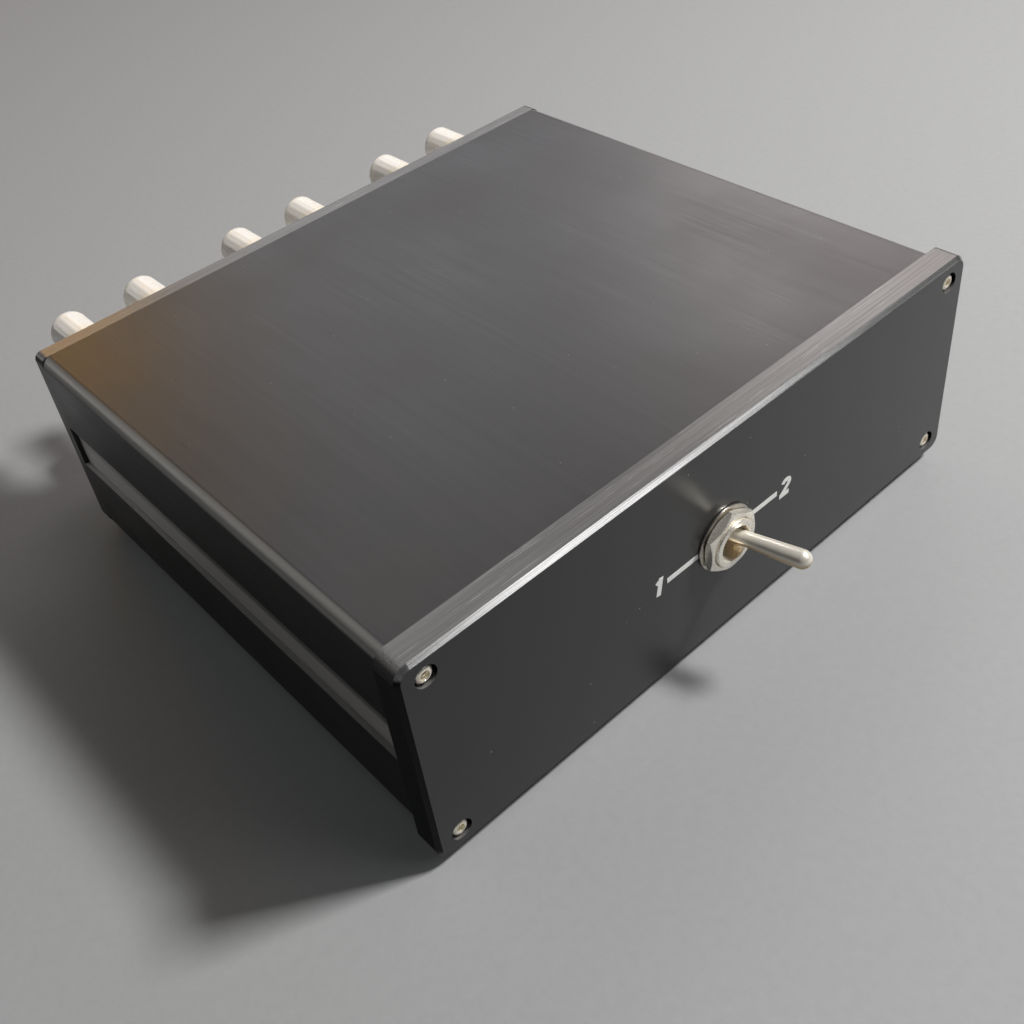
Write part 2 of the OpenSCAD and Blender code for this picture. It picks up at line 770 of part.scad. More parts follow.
// Solid tube through a list of points; its end faces are square to the path
module sweep(path, r, sides) {
    last = len(path) - 1;
    heading = [for (k = [0:last]) unit(path[min(k + 1, last)] - path[max(k - 1, 0)])];
    ring = [for (k = [0:last])
        let (u = unit(cross(heading[k], abs(heading[k].z) < 0.9 ? [0, 0, 1] : [1, 0, 0])),
             v = cross(u, heading[k]))
        for (s = [0:sides - 1])
            path[k] + r * (u * cos(s * 360 / sides) + v * sin(s * 360 / sides))];
    tube = [for (k = [0:last - 1], s = [0:sides - 1])
        let (n = (s + 1) % sides)
        [k * sides + s, k * sides + n, (k + 1) * sides + n, (k + 1) * sides + s]];
    start = [[for (s = [0:sides - 1]) sides - 1 - s]];
    finish = [[for (s = [0:sides - 1]) last * sides + s]];
    polyhedron(points = ring, faces = concat(tube, start, finish), convexity = 4);
}

// Each group of four posts serves one column of terminals, upper posts first
function wire_pole(i) = (post_row(i) > 0 ? 0 : 2) + (post_side(i) < 0 ? 0 : 1);

module wires(row) {
    steps = 14;
    for (i = [1:post_count]) if (post_row(i) == row && wire_pole(i) < poles) {
        from = [post_group(i) * throw_x, terminal_end, pole_z[wire_pole(i)]];
        to = [post_x(i), tag_front, post_z(i) - row * tag_reach];
        lead = [0, wire_lead, 0];
        stub = [0, wire_d, 0];
        bend = [for (k = [0:steps])
            bezier([from + stub, from + lead, to - lead, to - stub], k / steps)];
        sweep(concat([from], bend, [to]), wire_d / 2, 8);
    }
}

module red_wires() {
    color([0.65, 0.06, 0.05]) wires(1);
}

module black_wires() {
    color([0.04, 0.04, 0.04]) wires(-1);
}

placed() top_shell();
placed() bottom_shell();
placed() front_panel();
placed() rear_panel();
placed() front_panel_screws();
placed() rear_panel_screws();
placed() rubber_feet();
placed() toggle_bushing();
placed() toggle_nut();
placed() lock_washer();
placed() toggle_lever();
placed() pivot_pin();
placed() switch_frame();
placed() switch_case();
placed() switch_base();
placed() contact_carriage();
placed() plungers();
placed() plunger_springs();
placed() contact_rockers();
placed() common_terminals();
placed() throw_terminals();
placed() post_studs();
placed() red_collars();
placed() black_collars();
placed() inner_insulators();
placed() post_nuts();
placed() solder_tags();
placed() red_wires();
placed() black_wires();
for (i = [1:post_count]) {
    placed() cap_shell(i);
    placed() cap_insert(i);
}
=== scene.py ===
"""Looks, light and camera of the loudspeaker selector box.

Shapes are written in millimetres and turned into metres by MM. Materials work in metres.
"""

import math

import bmesh
import bpy
from mathutils import Matrix, Vector


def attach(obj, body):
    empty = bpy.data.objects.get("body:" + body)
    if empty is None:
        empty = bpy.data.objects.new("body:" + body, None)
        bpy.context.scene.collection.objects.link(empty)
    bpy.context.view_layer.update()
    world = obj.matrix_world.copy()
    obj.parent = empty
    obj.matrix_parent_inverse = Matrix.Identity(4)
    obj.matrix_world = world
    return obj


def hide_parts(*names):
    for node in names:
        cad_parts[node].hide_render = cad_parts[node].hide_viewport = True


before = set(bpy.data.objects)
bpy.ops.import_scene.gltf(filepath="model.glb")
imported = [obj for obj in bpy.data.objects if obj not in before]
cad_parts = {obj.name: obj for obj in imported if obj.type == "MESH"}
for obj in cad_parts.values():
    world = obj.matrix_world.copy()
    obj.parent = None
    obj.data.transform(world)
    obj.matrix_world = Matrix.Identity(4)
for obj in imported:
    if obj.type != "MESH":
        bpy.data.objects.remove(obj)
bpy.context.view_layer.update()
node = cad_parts

MM = 0.001
POSTS = range(1, 13)
UPPER_POSTS = range(1, 7)


def span(name):
    """The low and the high corner of a CAD node's box, in millimetres."""
    points = [node[name].matrix_world @ v.co for v in node[name].data.vertices]
    return [Vector([pick(p[k] for p in points) / MM for k in range(3)]) for pick in (min, max)]


def reach(name):
    """Where a CAD node starts and ends along Y."""
    return [corner.y for corner in span(name)]


def middle(name):
    low, high = span(name)
    return (low + high) / 2


FRONT, BODY_FRONT = reach("front_panel")
BODY_BACK, REAR = reach("rear_panel")
MID_Z = middle("front_panel").z
HALF_W = span("top_shell")[1].x
SEAM_Z = span("bottom_shell")[1].z
BAND_LOW = SEAM_Z - 8.2
BAND_HIGH = SEAM_Z + 4.2
WASHER_R = span("lock_washer")[1].x
STUD_START = span("post_studs")[0].y
CAD_SHARP = math.radians(28)

# The stack of a binding post along Y, from the rear face outwards
COLLAR_T = 4.5
FLANGE_T = 1.3
BARREL_LENGTH = 16.2
INSERT_LENGTH = 11.0
CAP_LENGTH = 19.0
COLLAR_END = REAR + COLLAR_T
BARREL = COLLAR_END + FLANGE_T
BARREL_END = BARREL + BARREL_LENGTH
INSERT_START = BARREL + 0.05
INSERT_END = INSERT_START + INSERT_LENGTH
CAP_START = INSERT_START + 1.15
CAP_END = CAP_START + CAP_LENGTH


# ---------------------------------------------------------------- materials


def grey(value):
    return (value, value, value)


class Look:
    """A material on the Principled shader, with short calls for its nodes."""

    def __init__(self, name, color, rough, metal=0.0):
        self.mat = bpy.data.materials.new(name)
        self.mat.use_nodes = True
        self.tree = self.mat.node_tree
        self.shader = self.tree.nodes["Principled BSDF"]
        self.set("Base Color", (*color, 1))
        self.set("Roughness", rough)
        self.set("Metallic", metal)

    def feed(self, target, value):
        """Links a node's output to a socket, or writes a plain value into it."""
        if isinstance(value, bpy.types.NodeSocket):
            self.tree.links.new(value, target)
        else:
            target.default_value = value

    def set(self, socket, value):
        self.feed(self.shader.inputs[socket], value)

    def add(self, kind, inputs=(), out=0, **props):
        made = self.tree.nodes.new("ShaderNode" + kind)
        for key, value in props.items():
            setattr(made, key, value)
        for key, value in dict(inputs).items():
            self.feed(made.inputs[key], value)
        return made.outputs[out]

    def math(self, what, a, b=0.0, clamp=False):
        return self.add("Math", {0: a, 1: b}, operation=what, use_clamp=clamp)

    def times(self, a, b):
        return self.math("MULTIPLY", a, b)

    def plus(self, a, b, clamp=False):
        return self.math("ADD", a, b, clamp)

    def below(self, value, limit):
        return self.math("LESS_THAN", value, limit)

    def apart(self, value, other):
        """How far two values are from each other."""
        return self.math("ABSOLUTE", self.math("SUBTRACT", value, other))

    def remap(self, value, a, b, low=0, high=1):
        """Low at a and below, high at b and above, and a straight run in between."""
        return self.add("MapRange", {"Value": value, "From Min": a, "From Max": b,
                                     "To Min": low, "To Max": high}, out="Result")

    def mix(self, factor, a, b):
        made = self.tree.nodes.new("ShaderNodeMix")
        made.data_type = "RGBA"
        for key, value in ((0, factor), (6, a), (7, b)):
            self.feed(made.inputs[key], (*value, 1) if isinstance(value, tuple) else value)
        return made.outputs[2]

    def place(self, scale):
        """Object coordinates in metres, times scale."""
        return self.add("Mapping", {"Vector": self.add("TexCoord", out="Object"), "Scale": scale})

    def noise(self, scale, detail, rough):
        """Scale is the number of features to the metre, one number or one each along X, Y and Z."""
        if not isinstance(scale, tuple):
            scale = grey(scale)
        return self.add("TexNoise", {"Vector": self.place(scale), "Scale": 1.0, "Detail": detail,
                                     "Roughness": rough}, out="Fac")

    def bump(self, height, depth, strength):
        """Depth in metres for a height of 1."""
        return self.add("Bump", {"Height": height, "Distance": depth, "Strength": strength})

    def parts(self, which):
        """The X, Y and Z part of a texture coordinate."""
        made = self.tree.nodes.new("ShaderNodeSeparateXYZ")
        self.tree.links.new(self.add("TexCoord", out=which), made.inputs[0])
        return list(made.outputs)

    def facing(self):
        """How far the surface faces along X, Y and Z, each from 0 to 1."""
        return [self.math("ABSOLUTE", part) for part in self.parts("Normal")]

    def specks(self, cells, size, share):
        """1 on small specks, one in a cell at most."""
        made = self.tree.nodes.new("ShaderNodeTexVoronoi")
        self.tree.links.new(self.place(grey(cells)), made.inputs["Vector"])
        made.inputs["Scale"].default_value = 1.0
        near = self.remap(made.outputs["Distance"], size, size * 0.6)
        chosen = self.tree.nodes.new("ShaderNodeSeparateColor")
        self.tree.links.new(made.outputs["Color"], chosen.inputs[0])
        return self.times(near, self.below(chosen.outputs[0], share))

    def dusty(self, base, cells=330, size=0.055, share=0.2, tone=(0.3, 0.3, 0.31)):
        """The base colour with pale specks of dust."""
        return self.mix(self.times(self.specks(cells, size, share), 0.75), base, tone)


def band_grey_and_sheen(look):
    """The matt band's grey, partly its matt finish and partly painted sheen, with painted shade round the
    joint of the two shells, which is a fine black line, and painted light that darkens it towards the front
    and pales it towards the rear.
    """
    _, y, z = look.parts("Object")
    drawn = look.noise((900, 8, 2600), 3, 0.6)
    # Partly painted sheen: the band's matt grey is made far paler than the black body.
    tone = look.mix(look.remap(drawn, 0.3, 0.7), (0.32, 0.314, 0.3), (0.4, 0.392, 0.376))
    off_seam = look.apart(z, SEAM_Z * MM)
    # Painted shade: a darker grey round the joint, fading out 1.6 mm from it; the fine black line below is
    # the joint itself.
    tone = look.mix(look.remap(off_seam, 0.7 * MM, 1.6 * MM, 0.6, 0), tone, grey(0.05))
    tone = look.mix(look.below(off_seam, 0.12 * MM), tone, grey(0.01))
    # Painted light: painted shade towards the front and a painted sheen towards the rear.
    tone = look.mix(look.remap(y, FRONT * MM, -FRONT * MM, 0.3, 0), tone, grey(0.12))
    return look.mix(look.remap(y, 0, -FRONT * MM, 0, 0.65), tone, (0.78, 0.77, 0.74))


def anodised_shell():
    """Satin black with fine drawn lines along Y, and painted shade that makes the flat sides near-black. The
    set-in band is matt with painted light on its grey, and the long edges are paler as a painted highlight.
    """
    look = Look("black_shell", (0.02, 0.02, 0.022), 0.34)
    facing_x, _, facing_z = look.facing()
    _, _, z = look.parts("Object")
    fine = look.noise((5200, 22, 5200), 2, 0.6)
    broad = look.noise((700, 6, 700), 2, 0.5)
    cloud = look.noise(28, 3, 0.55)
    stroke = look.remap(look.noise((300, 1500, 300), 3, 0.7), 0.72, 0.76, 0, 0.5)
    side = look.remap(facing_x, 0.75, 0.97)
    off_middle = look.apart(z, (BAND_LOW + BAND_HIGH) / 2 * MM)
    band = look.below(off_middle, (BAND_HIGH - BAND_LOW + 0.06) / 2 * MM)
    edge_sheen = look.remap(look.times(facing_x, facing_z), 0.12, 0.42)

    base = look.mix(look.remap(broad, 0.3, 0.7), (0.0185, 0.0188, 0.021), (0.0265, 0.0268, 0.029))
    base = look.mix(look.remap(cloud, 0.35, 0.7, 0, 0.5), base, (0.034, 0.031, 0.029))
    base = look.mix(stroke, base, grey(0.07))
    base = look.dusty(base)
    # Painted shade: the flat sides are painted near-black, darker than the top.
    base = look.mix(look.times(side, 0.6), base, grey(0.006))
    base = look.mix(band, base, band_grey_and_sheen(look))
    # Painted highlight: the rounded long edges are painted pale grey and made partly metallic.
    look.set("Base Color", look.mix(edge_sheen, base, (0.3, 0.298, 0.29)))
    look.set("Metallic", look.times(edge_sheen, 0.6))

    rough = look.plus(look.remap(fine, 0.25, 0.75, -0.05, 0.05), look.remap(cloud, 0.3, 0.7, 0.3, 0.38))
    rough = look.plus(rough, look.times(edge_sheen, 0.14))
    look.set("Roughness", look.plus(rough, look.times(band, 0.25)))
    look.set("Specular IOR Level", look.remap(side, 0, 1, 0.7, 0.16))
    look.set("Normal", look.bump(look.plus(fine, look.times(broad, 0.5)), 0.0000075, 0.8))
    return look.mat


def anodised_panel():
    """Fine blasted faces painted paler towards +X as painted light, cut edges brushed along X, a painted
    highlight on the bright upper bevel, and ends painted near-black as painted shade.
    """
    look = Look("black_panel", (0.02, 0.02, 0.021), 0.36)
    facing_x, facing_y, facing_z = look.facing()
    x, _, _ = look.parts("Object")
    edge = look.below(facing_y, 0.35)
    bevel = look.times(look.math("GREATER_THAN", facing_y, 0.35), look.below(facing_y, 0.9))
    bevel_highlight = look.times(bevel, look.remap(facing_z, 0.25, 0.6))
    lid = look.times(edge, look.remap(facing_z, 0.3, 0.8))
    grain = look.noise(6500, 2, 0.6)
    cloud = look.noise(30, 3, 0.5)
    run = look.noise((26, 3600, 3600), 3, 0.65)
    scratch = look.remap(look.noise((60, 2300, 2300), 4, 0.75), 0.6, 0.7)

    base = look.mix(look.remap(cloud, 0.3, 0.7), (0.0185, 0.0185, 0.0193), (0.0235, 0.0235, 0.0245))
    # Painted light: the face is painted paler towards +X, the side of the key lamp.
    base = look.mix(look.remap(x, -HALF_W * MM, HALF_W * MM), base, (0.045, 0.045, 0.046))
    base = look.dusty(base, 260, 0.06, 0.22)
    # Painted shade: the ends facing along X are painted near-black.
    base = look.mix(look.remap(facing_x, 0.3, 0.6), base, grey(0.003))
    brushed = look.mix(look.remap(run, 0.3, 0.7), (0.11, 0.108, 0.108), (0.2, 0.197, 0.196))
    brushed = look.mix(look.times(scratch, 0.7), brushed, grey(0.42))
    base = look.mix(lid, base, brushed)
    # Painted highlight: the upper and lower bevels are painted pale and made metallic; the side bevels stay
    # black.
    highlight_tone = look.mix(look.remap(run, 0.35, 0.65), (0.3, 0.3, 0.305), (0.58, 0.58, 0.59))
    look.set("Base Color", look.mix(bevel_highlight, base, highlight_tone))
    look.set("Metallic", look.plus(look.times(bevel_highlight, 0.9), look.times(lid, 0.2), clamp=True))
    look.set("Roughness", look.remap(bevel_highlight, 0, 1, 0.25, 0.22))
    look.set("Specular IOR Level", look.remap(facing_x, 0.3, 0.6, 0.48, 0.08))
    height = look.mix(edge, look.remap(grain, 0, 1), look.remap(run, 0, 1))
    look.set("Normal", look.bump(height, 0.000004, 0.9))
    return look.mat


def plated(name, color, rough, wear=0.06, tone=None, lines=5000, bump=0.000003, metal=1.0, underside_shade=None):
    """Plated or bare metal with stains of tone and fine marks. The underside colour is painted shade and
    reflection: the surface turns to it where it faces down.
    """
    look = Look(name, color, rough, metal)
    cloud = look.noise(420, 4, 0.6)
    fine = look.noise(lines, 2, 0.6)
    stain = tone or tuple(v * 0.72 for v in color)
    base = look.mix(look.remap(cloud, 0.35, 0.75), color, stain)
    # Painted shade and reflection: the faces turned down take a darker warm colour.
    if underside_shade:
        base = look.mix(look.remap(look.parts("Normal")[2], 0.3, -0.35), base, underside_shade)
    look.set("Base Color", base)
    look.set("Roughness", look.plus(look.remap(fine, 0.3, 0.7, -wear, wear),
                                    look.remap(cloud, 0.3, 0.75, rough, rough + 0.08)))
    look.set("Normal", look.bump(fine, bump, 0.6))
    return look.mat


def plastic(name, color, rough, vary=0.12, grain=3000, bump=0.000004):
    """Moulded plastic or paint whose colour varies by a share."""
    look = Look(name, color, rough)
    cloud = look.noise(260, 3, 0.55)
    fine = look.noise(grain, 2, 0.6)
    light = tuple(min(1, v * (1 + vary)) for v in color)
    dark = tuple(v * (1 - vary) for v in color)
    look.set("Base Color", look.mix(cloud, dark, light))
    look.set("Roughness", look.remap(fine, 0.3, 0.7, rough - 0.04, rough + 0.06))
    look.set("Normal", look.bump(fine, bump, 0.7))
    return look.mat


def rubber():
    look = Look("foot_rubber", grey(0.022), 0.8)
    fine = look.noise(2600, 4, 0.7)
    base = look.mix(look.noise(150, 3, 0.5), grey(0.017), grey(0.03))
    look.set("Base Color", look.dusty(base, 500, 0.07, 0.3, grey(0.12)))
    look.set("Roughness", look.remap(fine, 0.3, 0.7, 0.7, 0.9))
    look.set("Normal", look.bump(fine, 0.00002, 0.8))
    return look.mat


def phenolic():
    """Brown moulding compound with flow marks and pale specks."""
    look = Look("moulded_case", (0.25, 0.06, 0.035), 0.45)
    fine = look.noise(900, 5, 0.7)
    flow = look.noise((60, 260, 60), 4, 0.6)
    base = look.mix(look.remap(flow, 0.3, 0.7), (0.17, 0.04, 0.025), (0.3, 0.08, 0.045))
    look.set("Base Color", look.mix(look.remap(fine, 0.5, 0.7, 0, 0.5), base, (0.36, 0.13, 0.08)))
    look.set("Roughness", look.remap(fine, 0.3, 0.7, 0.38, 0.55))
    look.set("Normal", look.bump(fine, 0.00001, 0.6))
    return look.mat


def laminate():
    """Resin board with a weave on its face and layers on its edges."""
    look = Look("laminate_base", (0.32, 0.16, 0.06), 0.5)
    weave = look.noise((2200, 2200, 240), 3, 0.6)
    layers = look.noise((60, 9000, 60), 2, 0.5)
    base = look.mix(look.remap(weave, 0.3, 0.7), (0.24, 0.11, 0.04), (0.4, 0.21, 0.09))
    look.set("Base Color", look.mix(look.remap(layers, 0.4, 0.6, 0, 0.35), base, (0.16, 0.07, 0.03)))
    look.set("Roughness", look.remap(weave, 0.3, 0.7, 0.4, 0.6))
    look.set("Normal", look.bump(weave, 0.00001, 0.5))
    return look.mat


def clear_plastic():
    """Milky plastic, warmer where the gold insert shows through."""
    look = Look("clear_cap", (0.95, 0.925, 0.87), 0.14)
    look.set("Transmission Weight", 0.05)
    look.set("Subsurface Weight", 0.15)
    look.set("Subsurface Radius", (0.9, 0.8, 0.6))
    look.set("Subsurface Scale", 0.003)
    look.set("IOR", 1.47)
    fine = look.noise(1500, 3, 0.6)
    cloud = look.remap(look.noise(420, 3, 0.6), 0.42, 0.62)
    _, y, _ = look.parts("Object")
    over_insert = look.remap(y, (CAP_START + 11) * MM, (CAP_START + 8) * MM, 0.15, 0.8)
    gold_seen = look.mix(cloud, (1.0, 0.86, 0.66), (1.0, 0.95, 0.87))
    look.set("Base Color", look.mix(over_insert, (1.0, 0.97, 0.92), gold_seen))
    look.set("Roughness", look.remap(fine, 0.3, 0.7, 0.2, 0.3))
    look.set("Normal", look.bump(fine, 0.00001, 0.5))
    return look.mat


SHELL = anodised_shell()
PANEL = anodised_panel()
NICKEL = plated("nickel_brass", (1.0, 0.96, 0.87), 0.25, 0.02, (0.95, 0.9, 0.79), bump=0.000001, metal=0.72)
# The lever's darker brown underside is painted shade and reflection.
LEVER = plated("nickel_lever", (1.0, 0.96, 0.87), 0.3, 0.04, (0.96, 0.9, 0.79), (3500, 90, 3500),
               metal=0.45, underside_shade=(0.48, 0.33, 0.14))
SCREW = plated("screw_steel", (1.0, 0.97, 0.88), 0.26, 0.06, (0.88, 0.8, 0.64), metal=0.7)
SPRING = plated("spring_steel", (0.62, 0.59, 0.54), 0.28, 0.08)
ZINC = plated("zinc_steel", (0.66, 0.68, 0.7), 0.34, 0.08, (0.52, 0.55, 0.6))
SILVER = plated("contact_brass", (0.78, 0.7, 0.5), 0.26)
TINNED = plated("tinned_brass", (0.72, 0.71, 0.68), 0.36, 0.1, (0.58, 0.57, 0.54))
GOLD = plated("gold_brass", (0.86, 0.62, 0.27), 0.2, 0.04, (0.66, 0.44, 0.16))
CLEAR = clear_plastic()
RUBBER = rubber()
PHENOLIC = phenolic()
LAMINATE = laminate()
CREAM = plastic("carriage_plastic", (0.72, 0.69, 0.61), 0.5)
NYLON = plastic("plunger_plastic", (0.7, 0.69, 0.64), 0.35)
RED = plastic("red_plastic", (0.52, 0.02, 0.018), 0.28)
BLACK = plastic("black_plastic", (0.02, 0.02, 0.021), 0.3)
RED_WIRE = plastic("red_insulation", (0.46, 0.02, 0.02), 0.42, grain=1800, bump=0.000012)
BLACK_WIRE = plastic("black_insulation", (0.022, 0.022, 0.023), 0.42, grain=1800, bump=0.000012)
INK = plastic("white_ink", (0.91, 0.92, 0.91), 0.5, 0.05, 5000, 0.000006)

DRESS = {
    "top_shell": SHELL, "bottom_shell": SHELL, "front_panel": PANEL, "rear_panel": PANEL,
    "pivot_pin": SPRING, "switch_frame": ZINC, "switch_case": PHENOLIC, "switch_base": LAMINATE,
    "contact_carriage": CREAM, "plungers": NYLON, "plunger_springs": SPRING,
    "contact_rockers": SILVER, "common_terminals": TINNED, "throw_terminals": TINNED,
    "post_nuts": GOLD, "solder_tags": TINNED, "inner_insulators": BLACK,
    "red_wires": RED_WIRE, "black_wires": BLACK_WIRE, "toggle_lever": LEVER,
    "front_panel_screws": SCREW, "rear_panel_screws": SCREW, "rubber_feet": RUBBER,
    "toggle_bushing": NICKEL, "toggle_nut": NICKEL, "lock_washer": SPRING,
    "post_studs": GOLD, "red_collars": RED, "black_collars": BLACK,
}
for i in POSTS:
    DRESS[f"cap_shell_{i}"] = CLEAR
    DRESS[f"cap_insert_{i}"] = GOLD
for name, material in DRESS.items():
    mesh = node[name].data
    mesh.materials.clear()
    mesh.materials.append(material)
    mesh.shade_smooth()
    mesh.set_sharp_from_angle(angle=CAD_SHARP)


# ---------------------------------------------------------------- shapes


def soften(points, steps):
    """A line through (y, r, round) with each corner rounded; a round of 0 keeps it sharp."""
    out = []
    for k, (y, r, fillet) in enumerate(points):
        here = Vector((y, r))
        if not fillet or k in (0, len(points) - 1):
            out.append((y, r))
            continue
        before = (Vector(points[k - 1][:2]) - here).normalized()
        after = (Vector(points[k + 1][:2]) - here).normalized()
        half = before.angle(after) / 2
        to_touch = fillet / math.tan(half)
        centre = here + (before + after).normalized() * (fillet / math.sin(half))
        first = here + before * to_touch - centre
        final = here + after * to_touch - centre
        for step in range(steps + 1):
            spoke = first.lerp(final, step / steps).normalized() * fillet
            out.append(tuple(centre + spoke))
    return out


def thread(start, end, pitch, crest, root, flat, flank):
    """Rings of a thread. Each turn is a flat crest, a flank and a flat root, and begins before end."""
    rings = []
    y = start
    while y < end:
        down = y + flat + flank
        rings += [(y, crest), (y + flat, crest), (down, root), (down + flat, root)]
        y += pitch
    return rings


def at_angle(value, angle):
    """A ring's y or r is a number or a function of the angle."""
    return value(angle) if callable(value) else value


def bridge(bm, one, two):
    """Faces between two loops of corners."""
    for k in range(len(one)):
        after = (k + 1) % len(one)
        bm.faces.new((one[k], one[after], two[after], two[k]))


def turned(bm, rings, sides, z=0.0, closed=False):
    """A body of (y, r) rings round an axis along Y. When closed, its last ring meets its first."""
    loops = []
    for y, r in rings:
        loop = []
        for side in range(sides):
            angle = 2 * math.pi * side / sides
            radius = at_angle(r, angle)
            spot = Vector((radius * math.cos(angle), at_angle(y, angle), z + radius * math.sin(angle)))
            loop.append(bm.verts.new(spot * MM))
        loops.append(loop)
    pairs = list(zip(loops, loops[1:]))
    if closed:
        pairs.append((loops[-1], loops[0]))
    for one, two in pairs:
        bridge(bm, one, two)
    if not closed:
        bm.faces.new(loops[0][::-1])
        bm.faces.new(loops[-1])
    return loops


def to_mesh(name, bm):
    bmesh.ops.recalc_face_normals(bm, faces=bm.faces)
    mesh = bpy.data.meshes.new(name)
    bm.to_mesh(mesh)
    bm.free()
    return mesh


def turned_mesh(name, rings, sides, z=0.0, closed=False):
    bm = bmesh.new()
    turned(bm, rings, sides, z, closed)
    return to_mesh(name, bm)


def placed(name, mesh, material, body, stands_for=(), sharp=32, at=None):
    """A piece of the scene that rides on a body and may stand in for CAD nodes."""
    if not mesh.materials:
        mesh.materials.append(material)
    mesh.shade_smooth()
    mesh.set_sharp_from_angle(angle=math.radians(sharp))
    piece = bpy.data.objects.new(name, mesh)
    bpy.context.scene.collection.objects.link(piece)
    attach(piece, body)
    if at is not None:
        piece.matrix_world = at
    if stands_for:
        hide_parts(*stands_for)


def hexagon(across, turn=0.0):
    """Radius of a hexagon at each angle, with a flat at turn and every 60 degrees from it."""
    def radius(angle):
        off = (angle - turn + math.pi / 6) % (math.pi / 3) - math.pi / 6
        return across / 2 / math.cos(off)
    return radius


def drilled(mesh, y, z, radius, length):
    """A copy of a mesh with an upright round hole on the plane x = 0."""
    bm = bmesh.new()
    bmesh.ops.create_cone(bm, cap_ends=True, segments=40, radius1=radius * MM, radius2=radius * MM,
                          depth=length * MM, matrix=Matrix.Translation(Vector((0, y, z)) * MM))
    tool_mesh = bpy.data.meshes.new("tool")
    bm.to_mesh(tool_mesh)
    bm.free()
    tool = bpy.data.objects.new("tool", tool_mesh)
    work = bpy.data.objects.new("work", mesh)
    for helper in (tool, work):
        bpy.context.scene.collection.objects.link(helper)
    change = work.modifiers.new("cut", "BOOLEAN")
    change.operation = "DIFFERENCE"
    change.solver = "EXACT"
    change.object = tool
    bpy.context.view_layer.update()
    out = bpy.data.meshes.new_from_object(work.evaluated_get(bpy.context.evaluated_depsgraph_get()))
    for helper in (tool, work):
        bpy.data.objects.remove(helper)
    return out


# ---------------------------------------------------------------- toggle switch

BUSHING_START = FRONT - 3.6
BUSHING_END = BODY_FRONT + 1.0
PIVOT_Y = FRONT + 6.6
NUT_FACE = FRONT - 3.0
SEAT_T = 0.7
PIN_HOLE_R = 0.82
THREAD_R = 5.95
THREAD_ROOT_R = 5.62
BORE_R = 3.55
MOUTH_R = 4.37
NUT_ACROSS = 14.0
NUT_SLOPE = 0.55
WASHER_T = 0.5
WASHER_RING = 1.35
TEETH = 10
TOOTH_T = 0.38
TOOTH_CUTS = ((7.05, 1.35, 0.0), (6.8, 1.2, 0.06), (6.5, 1.15, 0.13), (6.2, 1.1, 0.17), (6.02, 1.05, 0.18))


def build_bushing():
    """Rounded rim, cone-shaped mouth, thread on the outside and a cross hole for the pin."""
    start, end = BUSHING_START, BUSHING_END
    thread_start = start + 0.75
    rings = soften([(end, BORE_R, 0), (PIVOT_Y - 3.5, BORE_R, 0), (start, MOUTH_R, 0.3),
                    (start, THREAD_R, 0.34), (thread_start, THREAD_R, 0)], 5)[:-1]
    rings += thread(thread_start, BODY_FRONT + 0.2, pitch=0.84, crest=THREAD_R, root=THREAD_ROOT_R,
                    flat=0.16, flank=0.26)
    rings += [(BODY_FRONT + 0.62, THREAD_R), (end, THREAD_R)]
    mesh = turned_mesh("bushing", rings, 96, MID_Z, closed=True)
    mesh = drilled(mesh, PIVOT_Y, MID_Z, PIN_HOLE_R, 30)
    placed("bushing_threaded", mesh, NICKEL, "case", ("toggle_bushing",), 34)


def build_nut():
    """A hexagon nut with corners up and down and round chamfers in front and behind."""
    face, back = NUT_FACE, FRONT - SEAT_T
    shape = hexagon(NUT_ACROSS)

    def chamfer(y, way, start):
        return lambda angle: y + way * max(0.0, shape(angle) - start) * NUT_SLOPE

    rings = [(face + 0.35, 6.0), (face + 0.06, 6.22), (face, 6.34), (face, 6.62), (face + 0.04, 6.85),
             (chamfer(face + 0.02, 1, 6.75), shape), (chamfer(back - 0.02, -1, 6.9), shape),
             (back, 6.85), (back, 6.25), (back - 0.3, 6.0)]
    mesh = turned_mesh("nut_chamfered", rings, 144, MID_Z, closed=True)
    placed("nut_chamfered", mesh, NICKEL, "case", ("toggle_nut",), 24)


def add_tooth(bm, y, around):
    """An inner tooth of the lock washer. A cut is its radius, half its width and its twist."""
    half_t = TOOTH_T / 2
    c, s = math.cos(around), math.sin(around)
    cuts = []
    for r, half_w, twist in TOOTH_CUTS:
        twist_c, twist_s = math.cos(twist), math.sin(twist)
        cut = []
        for along, across in ((-half_w, -half_t), (half_w, -half_t), (half_w, half_t), (-half_w, half_t)):
            v = Vector((r, along * twist_s + across * twist_c, along * twist_c - across * twist_s))
            spot = Vector((v.x * c - v.z * s, y + v.y, MID_Z + v.x * s + v.z * c))
            cut.append(bm.verts.new(spot * MM))
        cuts.append(cut)
    for one, two in zip(cuts, cuts[1:]):
        bridge(bm, one, two)
    bm.faces.new(cuts[0][::-1])
    bm.faces.new(cuts[-1])


def build_washer():
    """A thin ring with twisted teeth inside."""
    y = FRONT - SEAT_T / 2
    front, back = y - WASHER_T / 2, y + WASHER_T / 2
    inner = WASHER_R - WASHER_RING
    bm = bmesh.new()
    rings = soften([(back, inner, 0), (front, inner, 0.05), (front, WASHER_R, 0.1), (back, WASHER_R, 0.1),
                    (back, inner, 0)], 3)[:-1]
    turned(bm, rings, 120, MID_Z, closed=True)
    for k in range(TEETH):
        add_tooth(bm, y, 2 * math.pi * k / TEETH)
    placed("washer_toothed", to_mesh("washer_toothed", bm), SPRING, "case", ("lock_washer",),
           30)


build_bushing()
build_nut()
build_washer()


# ---------------------------------------------------------------- screws and feet

